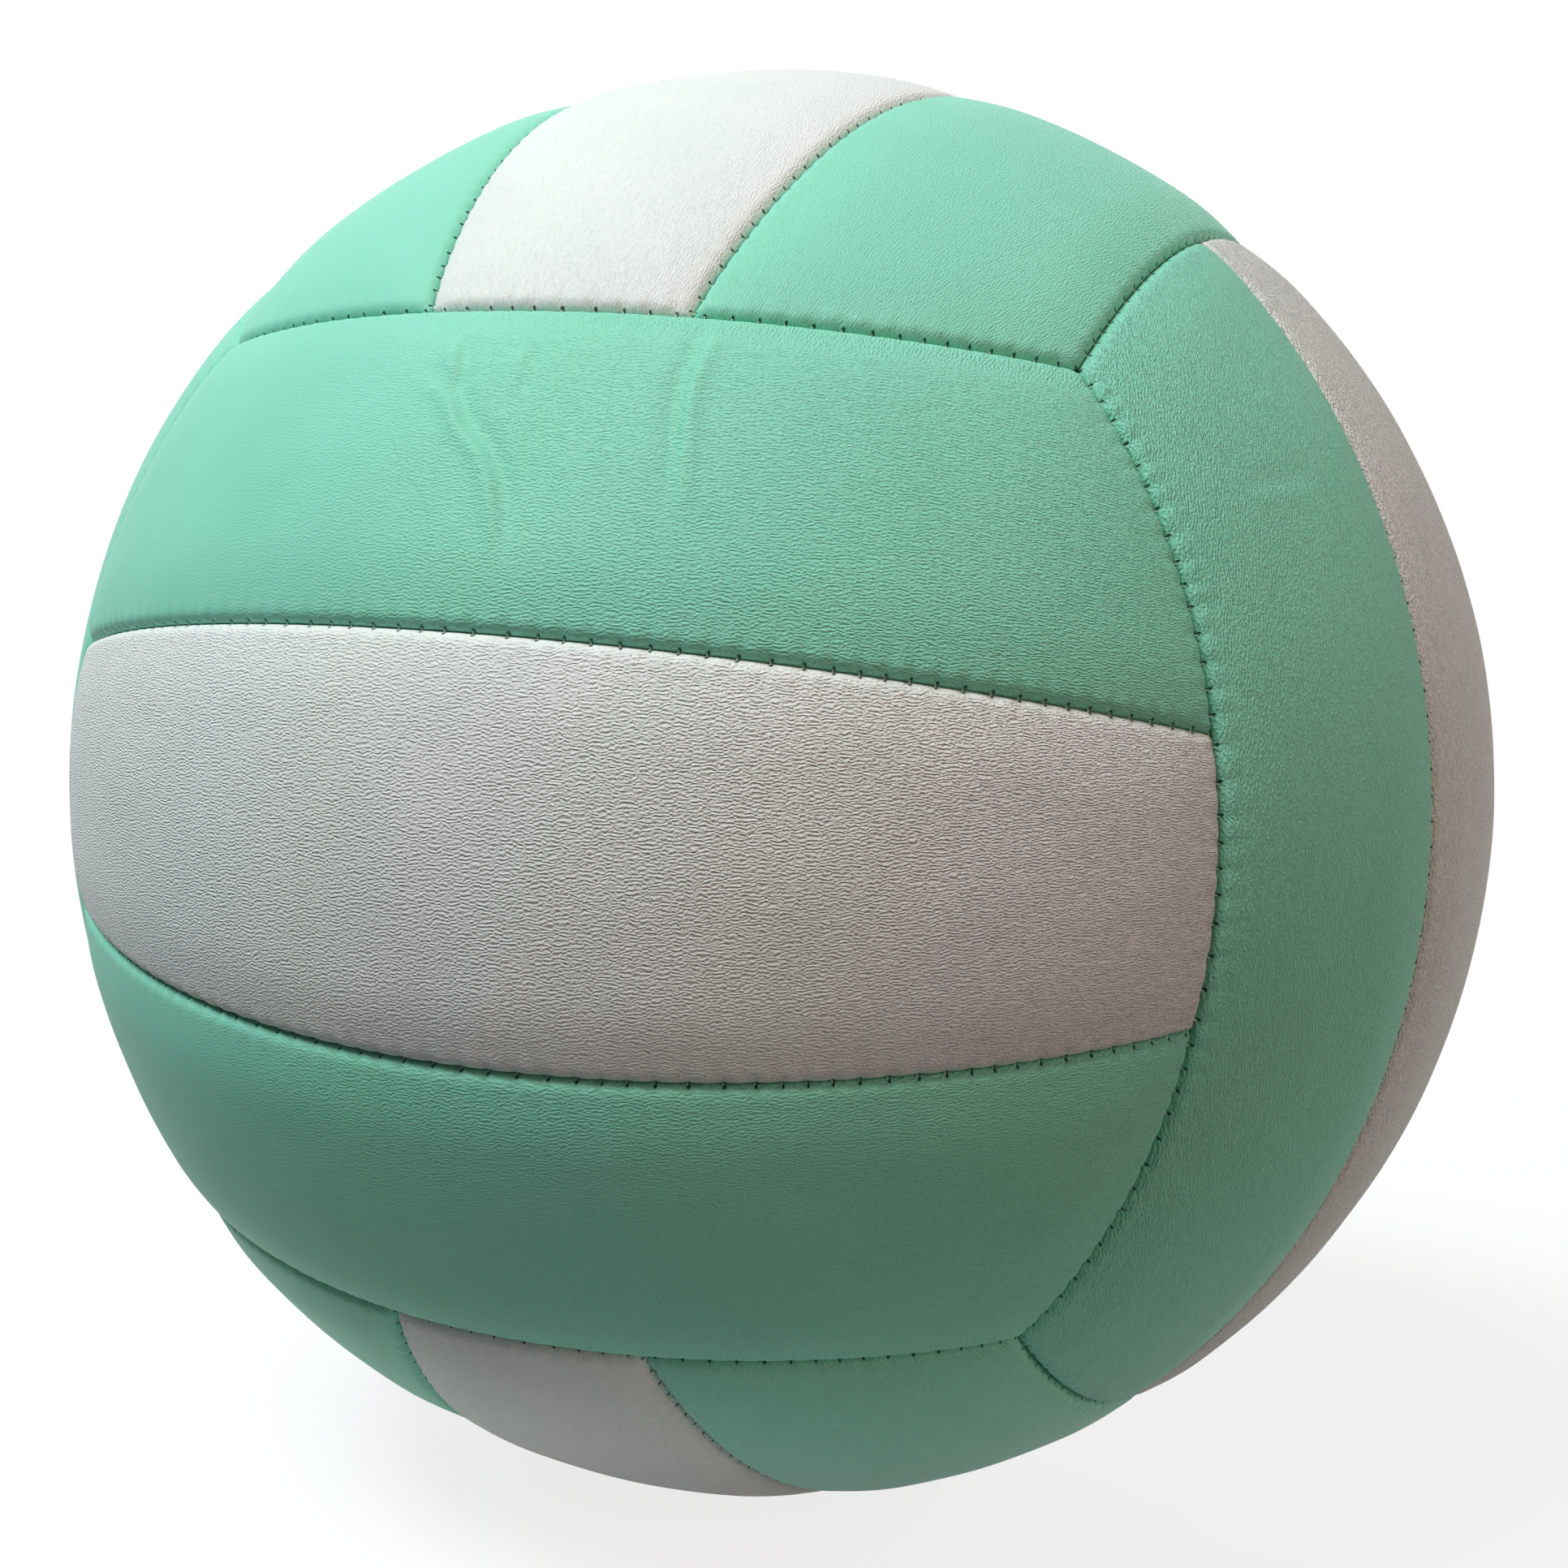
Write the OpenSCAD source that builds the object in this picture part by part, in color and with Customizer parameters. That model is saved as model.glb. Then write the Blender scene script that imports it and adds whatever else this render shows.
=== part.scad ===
// Volleyball of eighteen sewn panels, in millimetres, with the ball's centre at the origin.
// Each of the six faces has three panels side by side. The panels of neighbouring faces run
// square to each other, so a panel's end always meets the long side of the next face's panel.
// Every seam is a circle on the ball, and a panel's edges are cut along cones from the centre.

/* [Ball] */
// Diameter over the crowns of the panels
ball_d = 210; // [206:0.5:214]
// Width of a middle panel at its waist, straight from seam to seam
middle_w = 51.6; // [46:0.2:56]
// Width of a middle panel at its two ends
middle_end_w = 35.8; // [32:0.2:42]
// Angle by which an end seam bows into the next face
seam_bow = 7; // [4:0.5:9]

/* [Panels] */
// Thickness of the synthetic leather skin
skin_t = 1.2; // [0.9:0.05:1.4]
// Thickness of the foam and cloth backing under the skin
backing_t = 2.7; // [2.2:0.1:3.2]
// Glue line between two pieces that are glued together
glue_gap = 0.1; // [0.05:0.01:0.15]
// Gap between the turned-in edges of two sewn panels
seam_gap = 0.2; // [0.1:0.02:0.3]
// Radius of the shoulder over which a skin falls to its seam
shoulder_r = 8; // [7:0.5:9]
// Depth at which the skin turns in from its shoulder
edge_drop = 2.6; // [2.2:0.1:2.9]

/* [Thread] */
// Diameter of the sewing thread that lies in a seam
thread_d = 0.7; // [0.5:0.05:0.85]
// Clearance between the thread and the shoulders beside it
thread_gap = 0.12; // [0.08:0.01:0.2]

/* [Bladder] */
// Wall of the rubber bladder
bladder_t = 0.9; // [0.7:0.05:1.2]
// Clearance between the bladder and the panels around it
bladder_gap = 0.3; // [0.2:0.05:0.4]

/* [Valve] */
// Diameter of the valve's neck, whose rim shows in the skin
neck_d = 8.4; // [7.5:0.1:9.5]
// Clearance round the neck in the skin, the backing and the patch
neck_gap = 0.3; // [0.2:0.05:0.4]
// Depth of the neck's rim below the crown of the skin
neck_sink = 0.5; // [0.3:0.05:0.8]
// Chamfer on the neck's rim
rim_chamfer = 0.5; // [0.3:0.05:0.7]
// Diameter of the flange that seals the valve inside the bladder
flange_d = 26; // [22:0.5:30]
// Thickness of the flange
flange_t = 1.2; // [0.9:0.1:1.5]
// Diameter of the collar that fills the hole in the bladder
collar_d = 15; // [12.5:0.5:18]
// Diameter of the stem that reaches into the bladder
stem_d = 9; // [8.4:0.1:10.5]
// Length of the stem under the flange
stem_l = 9.5; // [8:0.5:11.5]
// Diameter of the rubber core that plugs the stem
core_d = 4.6; // [4.2:0.1:5.2]
// Clearance round the core
core_gap = 0.05; // [0.03:0.01:0.08]
// Diameter of the foot that keeps the core in the stem
foot_d = 6.6; // [6.2:0.1:7.4]
// Length of the foot
foot_l = 2; // [1.5:0.1:2.5]
// Diameter of the needle's channel in the core
needle_d = 1.9; // [1.6:0.05:2.2]
// Diameter of the funnel that leads the needle in
funnel_d = 3.4; // [3:0.1:3.8]
// Depth of the funnel
funnel_l = 1.4; // [1:0.1:1.8]
// Diameter of the cloth patch round the valve
patch_d = 36; // [30:1:42]
// Thickness of the cloth patch
patch_t = 0.5; // [0.4:0.05:0.7]
// Clearance round the edge of the patch
patch_gap = 0.3; // [0.2:0.05:0.4]

/* [Hidden] */
$fn = 144;
thread_fn = 24;

MINT = [0.47, 0.84, 0.70];
WHITE = [0.90, 0.90, 0.88];
FOAM = [0.86, 0.84, 0.76];
CLOTH = [0.80, 0.79, 0.74];
THREAD = [0.80, 0.92, 0.86];
BUTYL = [0.10, 0.10, 0.11];
RUBBER = [0.16, 0.16, 0.17];

// Each face has a name, the turn that brings the top face there, and its panels' names.
FACES = [
    ["top", [0, 0, 0], ["left", "middle", "right"]],
    ["bottom", [180, 0, 0], ["left", "middle", "right"]],
    ["right", [90, 0, 90], ["front", "middle", "back"]],
    ["left", [90, 0, -90], ["back", "middle", "front"]],
    ["front", [0, -90, 90], ["lower", "middle", "upper"]],
    ["back", [0, -90, -90], ["lower", "middle", "upper"]],
];
BACK = FACES[5];
SIDES = [0, 1, 2];
MIDDLE = 1;

function panel_name(piece, face, side) = str(piece, "_", face[0], "_", face[2][side]);

function thread_name(face) = str("thread_", face[0]);

// Distances from the ball's centre.
ball_r = ball_d / 2;
backing_out_r = ball_r - skin_t - glue_gap;
backing_in_r = backing_out_r - backing_t;
bladder_out_r = backing_in_r - bladder_gap;
bladder_in_r = bladder_out_r - bladder_t;
rim_r = ball_r - neck_sink;
flange_out_r = bladder_in_r - glue_gap;
flange_in_r = flange_out_r - flange_t;
stem_end_r = flange_in_r - stem_l;
foot_out_r = stem_end_r - core_gap;
foot_in_r = foot_out_r - foot_l;
// Beyond the ball by more than any edge needs.
clear_r = ball_r + shoulder_r;
// Cuts run past the faces that they open by this much.
overrun = skin_t;
// What lies beyond a seam's wall is cut away for this far.
cutter_w = ball_r / 2;

// An end seam is a circle through two corners of the cube in the ball, bowed into the next
// face. Its axis leans back from the face's centre, and the seam keeps one angle to that axis.
corner_share = 1 / sqrt(3);
bow_out = sin(45 + seam_bow) - corner_share;
bow_up = cos(45 + seam_bow) - corner_share;
end_lean = atan2(bow_up, bow_out);
end_angle = acos(corner_share * (cos(end_lean) - sin(end_lean)));
end_half_turn = asin(corner_share / sin(end_angle));

// A strip seam, between a middle panel and an outer one, is a circle through the middle
// panel's edge at its waist and at its two ends.
waist = [middle_w / 2, sqrt(ball_r * ball_r - middle_w * middle_w / 4)];
tip_ring = sqrt(ball_r * ball_r - middle_end_w * middle_end_w / 4);
tip_turn = acos(ball_r * cos(end_angle) / tip_ring) - end_lean;
tip = [middle_end_w / 2, tip_ring * cos(tip_turn)];
strip_lean = atan2(waist[0] - tip[0], waist[1] - tip[1]);
strip_angle = acos(waist * [cos(strip_lean), -sin(strip_lean)] / ball_r);
strip_half_turn = asin(tip_ring * sin(tip_turn) / (ball_r * sin(strip_angle)));

// Turns from a face's middle, with the room that a rough block has round its panel, and the
// half turn that a seam's cutters cover.
waist_turn = atan2(waist[0], waist[1]);
tip_side_turn = atan2(tip[0], tip[1]);
room_turn = 6;
cutter_half_turn = 75;

// The section of a skin's edge beside a seam that stands upright: the shoulder's circle goes
// through the top of the wall and runs up to the ball, which it crosses with a slight edge.
shoulder_bite = shoulder_r / 80;
edge_p = [seam_gap / 2, ball_r - edge_drop];
shoulder_ring = ball_r + shoulder_bite - shoulder_r;
shoulder_turn = atan2(edge_p[0], edge_p[1])
    + acos((shoulder_ring * shoulder_ring + edge_p * edge_p - shoulder_r * shoulder_r)
        / (2 * shoulder_ring * norm(edge_p)));
shoulder_p = polar(shoulder_ring, shoulder_turn);

// The thread lies where the two shoulders leave room for it, and stops short of crossing seams.
thread_reach = shoulder_r + thread_d / 2 + thread_gap;
thread_r = shoulder_p[1] + sqrt(thread_reach * thread_reach - shoulder_p[0] * shoulder_p[0]);
thread_stop = arc_angle(2 * thread_d, thread_r);

// The angle of an arc of this length on a circle of this radius.
function arc_angle(length, radius) = length / radius * 180 / PI;

// The point at this radius and this turn from the upright axis.
function polar(radius, turn) = radius * [sin(turn), cos(turn)];

// Turns the top face's pieces to another face.
module on_face(face) {
    rotate(face[1]) children();
}

// Turns the upright axis to that of the end seam at +Y or -Y.
module at_end(way) {
    rotate([way * end_lean, 0, 0]) children();
}

// Turns the upright axis to that of the strip seam at +X or -X.
module at_strip(way) {
    rotate([0, way * (90 + strip_lean), 0]) children();
}

// Turns the upright axis to that of the end seam of the next face at +X.
module at_next_end() {
    rotate([0, 90 + end_lean, 0]) children();
}

// The section that is cut away over a skin's edge, or over a layer that lies lower by "inset".
module edge_cut(inset) {
    difference() {
        polygon([
            [-shoulder_r, shoulder_p[1]],
            shoulder_p,
            polar(clear_r, shoulder_turn),
            [-shoulder_r, clear_r],
        ]);
        translate(shoulder_p) circle(shoulder_r - inset);
    }
}

// Draws a section at a seam. The panel lies on the axis's side if way is 1, and beyond the
// seam if it is -1.
module at_seam(angle, way) {
    rotate(-angle)
        if (way > 0) mirror([1, 0]) children();
        else children();
}

// Turns a section about the upright axis, to both sides of one middle.
module turned(middle) {
    rotate(middle - cutter_half_turn) rotate_extrude(angle = 2 * cutter_half_turn) children();
}

// What lies beyond an end seam's wall, which runs towards the ball's centre.
module end_wall_cut(way, middle, inset) {
    turned(middle) at_seam(end_angle, way)
        translate([seam_gap / 2 + inset - cutter_w, ball_r - cutter_w])
            square([cutter_w, 2 * cutter_w]);
}

// What lies beyond a strip seam's wall. The seam is almost a great circle, and the wall is flat.
module strip_wall_cut(way, middle, inset) {
    wall = edge_p[1] * cos(strip_angle) + way * (seam_gap / 2 + inset);
    turned(middle)
        translate([ball_r - cutter_w, way > 0 ? wall - cutter_w : wall])
            square([2 * cutter_w, cutter_w]);
}

// What lies over the shoulder beside a seam.
module shoulder_cut(angle, way, middle, inset) {
    turned(middle) at_seam(angle, way) edge_cut(inset);
}

// The block of a panel of the top face from "inset" below its skin down to the radius in_r.
module block(side, inset, in_r) {
    if (side == MIDDLE) middle_block(inset, in_r);
    else rotate(side < MIDDLE ? 180 : 0) outer_block(inset, in_r);
}

module middle_block(inset, in_r) {
    to = tip_side_turn + room_turn;
    past_strip_shoulder(1, -1, inset) past_strip_shoulder(-1, -1, inset) past_end_shoulders(inset)
        past_strip_wall(1, -1, inset) past_strip_wall(-1, -1, inset) past_end_walls(inset)
            rough_block(-to, to, ball_r - inset, in_r);
}

// The outer block at +X, whose long side meets the ends of the next face's panels.
module outer_block(inset, in_r) {
    past_strip_shoulder(1, 1, inset) past_next_shoulder(inset) past_end_shoulders(inset)
        past_next_wall(inset) past_strip_wall(1, 1, inset) past_end_walls(inset)
            rough_block(waist_turn - room_turn, 45 + room_turn, ball_r - inset, in_r);
}

// Each of these cuts its child at one kind of seam, first the walls and then the shoulders.
module past_end_walls(inset) {
    difference() {
        difference() {
            children();
            at_end(1) end_wall_cut(1, 90, inset);
        }
        at_end(-1) end_wall_cut(1, -90, inset);
    }
}

module past_end_shoulders(inset) {
    difference() {
        difference() {
            children();
            at_end(1) shoulder_cut(end_angle, 1, 90, inset);
        }
        at_end(-1) shoulder_cut(end_angle, 1, -90, inset);
    }
}

module past_strip_wall(side, way, inset) {
    difference() {
        children();
        at_strip(side) strip_wall_cut(way, 90 + side * 90, inset);
    }
}

module past_strip_shoulder(side, way, inset) {
    difference() {
        children();
        at_strip(side) shoulder_cut(strip_angle, way, 90 + side * 90, inset);
    }
}

module past_next_wall(inset) {
    difference() {
        children();
        at_next_end() end_wall_cut(-1, 180, inset);
    }
}

module past_next_shoulder(inset) {
    difference() {
        children();
        at_next_end() shoulder_cut(end_angle, -1, 180, inset);
    }
}

// A stretch of the ball's wall between two turns from the face's middle, longer than a panel.
module rough_block(from, to, out_r, in_r) {
    end_turn = 45 - seam_bow - room_turn;
    rotate([90, 0, 0]) rotate(90 - to)
        rotate_extrude(angle = to - from)
            difference() {
                intersection() {
                    circle(out_r);
                    polygon([[0, 0], polar(2 * clear_r, end_turn), polar(2 * clear_r, 180 - end_turn)]);
                }
                circle(in_r);
            }
}

// A skin, with its four edges turned in down to the bladder.
module panel(face, side) {
    color(side == MIDDLE ? WHITE : MINT)
        on_face(face) difference() {
            block(side, 0, backing_in_r);
            block(side, skin_t, backing_in_r - overrun);
            if (has_valve(face, side)) neck_hole();
        }
}

// The pad of foam and cloth inside a skin's turned-in edges.
module backing(face, side) {
    color(FOAM)
        on_face(face) difference() {
            block(side, skin_t + glue_gap, backing_in_r);
            if (has_valve(face, side)) {
                neck_hole();
                disc(patch_d / 2 + patch_gap, backing_in_r + patch_t, backing_in_r - overrun);
            }
        }
}

function has_valve(face, side) = face == BACK && side == MIDDLE;

module neck_hole() {
    cylinder(d = neck_d + 2 * neck_gap, h = clear_r);
}

// A round disc on the upright axis, curved like the ball.
module disc(r, out_r, in_r) {
    rotate_extrude() disc_section(r, out_r, in_r);
}

module disc_section(r, out_r, in_r) {
    intersection() {
        difference() {
            circle(out_r);
            circle(in_r);
        }
        square([r, clear_r]);
    }
}

// The threads of a face's two strip seams and its two end seams.
module threads(face) {
    color(THREAD)
        on_face(face) for (way = [1, -1]) {
            at_strip(way) thread_arc(strip_angle, 90 + way * 90, strip_half_turn);
            at_end(way) thread_arc(end_angle, way * 90, end_half_turn);
        }
}

// A thread along the seam that keeps "angle" to the upright axis.
module thread_arc(angle, middle, half_turn) {
    reach = half_turn - thread_stop;
    rotate(middle - reach)
        rotate_extrude(angle = 2 * reach)
            translate(polar(thread_r, angle)) circle(d = thread_d, $fn = thread_fn);
}

// The bladder, with the hole that the valve's collar fills.
module bladder() {
    color(BUTYL)
        on_face(BACK) difference() {
            sphere(bladder_out_r);
            sphere(bladder_in_r);
            cylinder(d = collar_d + 2 * glue_gap, h = clear_r);
        }
}

// The cloth patch that keeps the bladder from bulging out round the valve.
module valve_patch() {
    color(CLOTH)
        on_face(BACK) difference() {
            disc(patch_d / 2, backing_in_r + patch_t - glue_gap, backing_in_r - glue_gap);
            neck_hole();
        }
}

// The valve's body: neck, collar, flange and stem in one moulding, bored for the core.
module valve_base() {
    bore_r = core_d / 2 + core_gap;
    color(RUBBER)
        on_face(BACK) rotate_extrude() difference() {
            union() {
                disc_section(flange_d / 2, flange_out_r, flange_in_r);
                disc_section(collar_d / 2, bladder_out_r, flange_in_r);
                polygon([
                    [0, flange_in_r],
                    [neck_d / 2, flange_in_r],
                    [neck_d / 2, rim_r - rim_chamfer],
                    [neck_d / 2 - rim_chamfer, rim_r],
                    [0, rim_r],
                ]);
                translate([0, stem_end_r]) square([stem_d / 2, stem_l + flange_t / 2]);
            }
            translate([0, stem_end_r - overrun]) square([bore_r, clear_r]);
        }
}

// The core: a rubber plug with a foot, and the needle's channel under a funnel.
module valve_core() {
    color(BUTYL)
        on_face(BACK) rotate_extrude() polygon([
            [needle_d / 2, foot_in_r],
            [foot_d / 2, foot_in_r],
            [foot_d / 2, foot_out_r],
            [core_d / 2, foot_out_r],
            [core_d / 2, rim_r],
            [funnel_d / 2, rim_r],
            [needle_d / 2, rim_r - funnel_l],
        ]);
}

for (face = FACES, side = SIDES) {
    panel(face, side);
    backing(face, side);
}
for (face = FACES)
    threads(face);
bladder();
valve_patch();
valve_base();
valve_core();
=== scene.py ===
"""A sewn volleyball: padded leather panels, stitches and valve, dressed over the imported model."""

import math

import bmesh
import bpy
import numpy as np
from mathutils import Matrix, Vector


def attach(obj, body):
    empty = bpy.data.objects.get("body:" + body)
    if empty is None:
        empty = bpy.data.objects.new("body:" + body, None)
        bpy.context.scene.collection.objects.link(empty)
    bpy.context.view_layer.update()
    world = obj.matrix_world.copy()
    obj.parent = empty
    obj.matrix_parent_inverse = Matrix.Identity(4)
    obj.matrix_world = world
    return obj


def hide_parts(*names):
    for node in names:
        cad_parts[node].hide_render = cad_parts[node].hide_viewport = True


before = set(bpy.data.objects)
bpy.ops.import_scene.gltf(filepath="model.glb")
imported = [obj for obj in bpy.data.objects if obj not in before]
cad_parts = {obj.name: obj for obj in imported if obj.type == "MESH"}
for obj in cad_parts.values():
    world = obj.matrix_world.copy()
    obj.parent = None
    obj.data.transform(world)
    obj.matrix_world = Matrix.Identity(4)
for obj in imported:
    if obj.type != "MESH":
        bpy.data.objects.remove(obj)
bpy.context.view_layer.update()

MM = 0.001
BODY = "root"

# The ball and its seams, in millimetres and degrees, as in the model's own values.
BALL_R = 105.0
MIDDLE_W = 51.6
MIDDLE_END_W = 35.8
SEAM_BOW = 7.0
SEAM_GAP = 0.2
SKIN_T = 1.2
SKIN_IN_R = 103.8
FOLD_R = 101.05
HOLE_R = 4.5

# The padded form of a panel: a wide crown, a tight shoulder, and the pull of the stitches.
CROWN_DROP = 0.95
CROWN_REACH = 11.0
SHOULDER_R = 1.5
STITCH_PITCH = 3.6
STITCH_CROWDING = 0.12
STITCH_PULL = 0.2
STITCH_PULL_W = 0.62
STITCH_PULL_REACH = 1.8
# How the stitches' places drift, in stitches: how much, and the wave over the ball.
STITCH_DRIFT = ((0.13, (21.0, 17.0, 25.0)), (0.09, (-43.0, 39.0, 31.0)))
BULGE = 0.07
BULGE_AT = (1.45, 1.3)
# How puckered the sides (long, long, end, end) of some panels are: hardly on the outer sides of the
# front's upper and lower panels, and along the right face's front strip seam.
EASY_SIDES = {
    ("front", 2): (1.0, 0.3, 1.0, 1.0),
    ("front", 0): (0.3, 1.0, 1.0, 1.0),
    ("right", 0): (1.0, 0.2, 1.0, 1.0),
    ("right", 1): (0.2, 1.0, 1.0, 1.0),
}
# How uneven the padding is, and the sizes of its lows and highs.
UNEVEN = 0.14
UNEVEN_SIZES = (38.0, 26.0, 17.0, 11.0)

# A panel's size across and along, for its count of points: a middle one and an outer one.
MIDDLE_SIZE = (48.0, 168.0)
OUTER_SIZE = (42.0, 152.0)
# Rows of points beside a seam, and the step between them elsewhere, finer on the creased panel.
# The inner face has one cell to so many of the outer one.
EDGE_ROWS = [0.0, 0.14, 0.34, 0.62, 0.98, 1.42, 1.94, 2.54]
STEP = 0.72
FINE_STEP = 0.5
COARSE = 4
# The rings of points down a skin's turned-in edge, and how thin a skin gets at least.
EDGE_RINGS = (101.35, FOLD_R)
SKIN_LEAST = 0.9
# The valve's hole: the block of cells it takes out, and its rings towards the lip.
HOLE_CELLS = 24
LIP_SHARES = (0.2, 0.4, 0.56, 0.68, 0.77, 0.84, 0.9, 0.95, 0.98, 1.0)

# The pads: their faces' radii, how far they keep under the skin's outer face, the gap to the seams,
# the rounding, and the cells across and along.
PAD_OUT_R = 103.65
PAD_IN_R = 101.05
PAD_UNDER = 1.05
PAD_INSET = 1.4
PAD_ROUND = 1.6
PAD_CELLS = (17, 45)
PAD_HOLE_CELLS = 12
PATCH_HOLE_R = 18.3
PATCH_ROOM = 0.5

# The thread that runs in a seam: its radius, its place and how far it ends before the corner.
THREAD_R = 0.2
THREAD_AT = 102.3
THREAD_TRIM = 1.2
# The strand across it at each stitch: radius, reach to a side, place, and rise at its ends.
STRAND_R = 0.11
STRAND_REACH = 0.3
STRAND_AT = 102.93
STRAND_RISE = 0.26

# The needle holes: their place beside the seam and the strand, and their radius.
HOLE_GAP = 0.3
HOLE_SHIFT = 0.46
HOLE_SIZE = 0.27

# Creases in the leather: how strong the step down to the right or below is (less than 0 for a step
# up), and (turn from the front, height) in degrees on the ball.
CREASES = [
    (1.0, [(-10.3, 32.2), (-5.7, 30.7), (-3.2, 28.1), (-0.3, 25.6), (1.6, 21.8), (2.2, 18.0)]),
    (0.7, [(-6.6, 35.2), (-5.6, 32.6), (-4.8, 30.3)]),
    (0.4, [(-0.1, 34.4), (0.4, 32.2), (0.3, 30.1)]),
    (-0.9, [(15.0, 37.4), (14.0, 34.0), (13.4, 30.9), (13.6, 26.9), (13.9, 20.1)]),
    (0.25, [(56.0, 26.3), (61.0, 26.6), (67.2, 27.6)]),
]
# The soft step: its height and width. The sharp line in it: its depth. The share of its length
# over which a crease fades out at each end, and the gap counted as far from any crease.
CREASE_STEP = 0.85
CREASE_W = 1.5
CREASE_DEPTH = 0.06
CREASE_FADE = 0.3
FAR = 9.0

# The grain: the width of a ridge, how far it wanders in ridges, its depth, and its share on some
# faces. The two sets of ridges lean this much along the strip.
RIDGE_W = 0.51
WANDER = 2.4
RIDGE_LEANS = (0.24, -0.14)
GRAIN_DEPTH = {"mint": 0.062, "white": 0.085}
GRAIN_SHARE = {"top": 0.6, "right": 1.4}
# How strong the grain is from the left to the right of the ball: places, in radii, and shares.
GRAIN_BY_PLACE = {
    "mint": ((-0.45, 0.0, 0.6), (0.2, 1.2, 1.8)),
    "white": ((0.0, 0.6), (1.2, 2.0)),
}
# How far from a seam between two faces the ridges run towards it, on the front face.
TURNED_GRAIN = (2.0, 6.0)

MINT = (0.28, 0.70, 0.53)
WHITE = (0.83, 0.83, 0.81)
THREAD = (0.60, 0.83, 0.71)
# Painted shade in the needle holes: the next colour stands in for the shadow inside each hole.
HOLE_SHADE = (0.012, 0.09, 0.055)
# Painted shade: the colours that the grain's lows, the seams' grooves and the creases are darkened
# towards.
MINT_SHADE = (0.06, 0.36, 0.235)
WHITE_SHADE = (0.46, 0.50, 0.45)

# The camera, from the places of the seams in the photograph.
IMAGE_SIDE = 1932
CAMERA_TURN = 21.94
CAMERA_HEIGHT = 6.02
CAMERA_ROLL = 2.90
CAMERA_FAR = 382.4
FOCAL_PIXELS = 3082.0
BALL_PIXEL = (961.9, 965.0)
SENSOR = 36.0

# Each lamp: turn and height of the way it shines from, distance, width in metres, watts, colour.
LAMPS = {
    "key_lamp": (-50.0, 53.0, 1.3, 0.6, 6.8, (0.66, 0.92, 1.0)),
    "top_lamp": (-24.0, 57.0, 1.3, 0.7, 11.9, (0.99, 1.0, 0.97)),
    "side_fill": (66.0, 20.0, 1.3, 0.85, 4.4, (1.0, 0.71, 0.58)),
    "right_fill": (135.0, 10.0, 1.3, 0.85, 2.4, (0.75, 1.0, 0.95)),
    "back_fill": (-158.0, 8.0, 1.3, 0.85, 8.2, (1.0, 1.0, 0.97)),
}
# Lamps that lift the sides turned away from the camera, and aren't seen in the gloss.
HIDDEN_IN_GLOSS = ("right_fill", "back_fill")
AMBIENT = 0.012

# What the floor gives back: the sheet under the ball, the floor round it, and where one ends.
SHEET_BOUNCE = 0.44
FLOOR_BOUNCE = 0.06
SHEET_EDGE = (0.13, 0.22)

# What the camera sees of the floor: paint, glow, and where it runs out into white, in metres.
FLOOR_PAINT = (0.26, 0.26, 0.26, 1)
FLOOR_GLOW = 0.8
FLOOR_WHITE = (0.16, 0.5)
FLOOR_SIDE = 6.0


def rad(degrees):
    return math.radians(degrees)


def unit(v):
    v = np.asarray(v, float)
    return v / np.linalg.norm(v, axis=-1, keepdims=True)


def direction(turn, height):
    """The direction at this turn from the front, to the right, and this height."""
    turn, height = rad(turn), rad(height)
    return np.array(
        [
            math.sin(turn) * math.cos(height),
            -math.cos(turn) * math.cos(height),
            math.sin(height),
        ]
    )


def smooth_fall(x):
    """1 at 0, falling smoothly to 0 at 1."""
    x = np.clip(x, 0, 1)
    return 1 - x * x * (3 - 2 * x)


# ---- camera, light and stage ----


def make_camera():
    back = direction(CAMERA_TURN, CAMERA_HEIGHT)
    level = np.array([math.cos(rad(CAMERA_TURN)), math.sin(rad(CAMERA_TURN)), 0])
    up = np.cross(back, level)
    roll = rad(CAMERA_ROLL)
    across = math.cos(roll) * level + math.sin(roll) * up
    upward = math.cos(roll) * up - math.sin(roll) * level
    data = bpy.data.cameras.new("camera")
    data.sensor_width = SENSOR
    data.lens = SENSOR * FOCAL_PIXELS / IMAGE_SIDE
    data.shift_x = (IMAGE_SIDE / 2 - BALL_PIXEL[0]) / IMAGE_SIDE
    data.shift_y = (BALL_PIXEL[1] - IMAGE_SIDE / 2) / IMAGE_SIDE
    data.clip_start = 0.01
    camera = bpy.data.objects.new("camera", data)
    bpy.context.scene.collection.objects.link(camera)
    place = back * CAMERA_FAR * MM
    camera.matrix_world = Matrix(
        [
            [across[0], upward[0], back[0], place[0]],
            [across[1], upward[1], back[1], place[1]],
            [across[2], upward[2], back[2], place[2]],
            [0, 0, 0, 1],
        ]
    )
    bpy.context.scene.camera = camera


def make_lamps():
    for name, (turn, height, far, width, watts, colour) in LAMPS.items():
        data = bpy.data.lights.new(name, "AREA")
        data.shape = "DISK"
        data.size = width
        data.energy = watts
        data.color = colour
        lamp = bpy.data.objects.new(name, data)
        bpy.context.scene.collection.objects.link(lamp)
        way = Vector(direction(turn, height))
        lamp.location = way * far
        lamp.rotation_euler = way.to_track_quat("Z", "Y").to_euler()
        lamp.visible_camera = False
        lamp.visible_glossy = name not in HIDDEN_IN_GLOSS


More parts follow.
